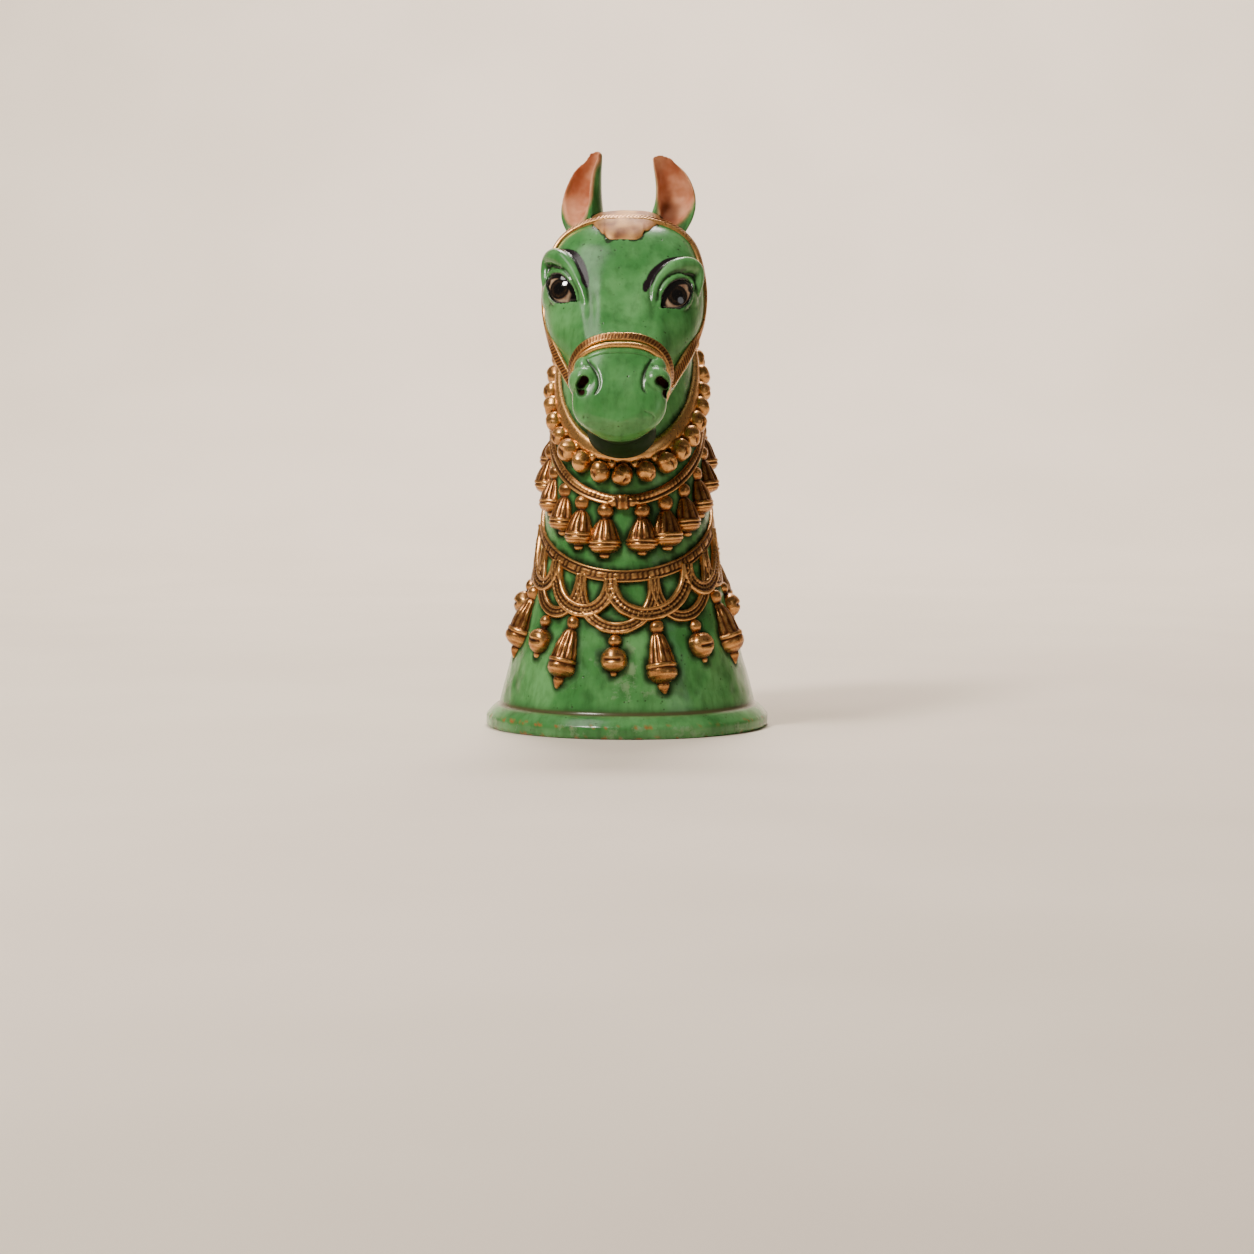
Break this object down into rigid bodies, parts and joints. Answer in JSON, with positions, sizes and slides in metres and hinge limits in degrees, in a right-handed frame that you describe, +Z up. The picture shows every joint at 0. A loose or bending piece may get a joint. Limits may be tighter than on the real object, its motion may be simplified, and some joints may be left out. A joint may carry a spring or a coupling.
{
  "type": "horse head figurine",
  "caption": "Carved and painted horse head on a flared round foot, wearing a halter and strings of round bells, tassels and looped cords.",
  "frame": {"origin": "centre of the round foot's flat underside, where the figurine stands", "axes": "+Z up along the figurine's height, the horse's face looks along -Y, the horse's left side is at +X"},
  "size_m": [0.228, 0.2605, 0.46],
  "materials": {
    "painted_wood": "glossy worn green enamel over carved wood, the ornaments and halter in rubbed copper-gold paint"
  },
  "bodies": {
    "root": {"horse_head_figurine": "painted_wood"}
  },
  "joints": []
}
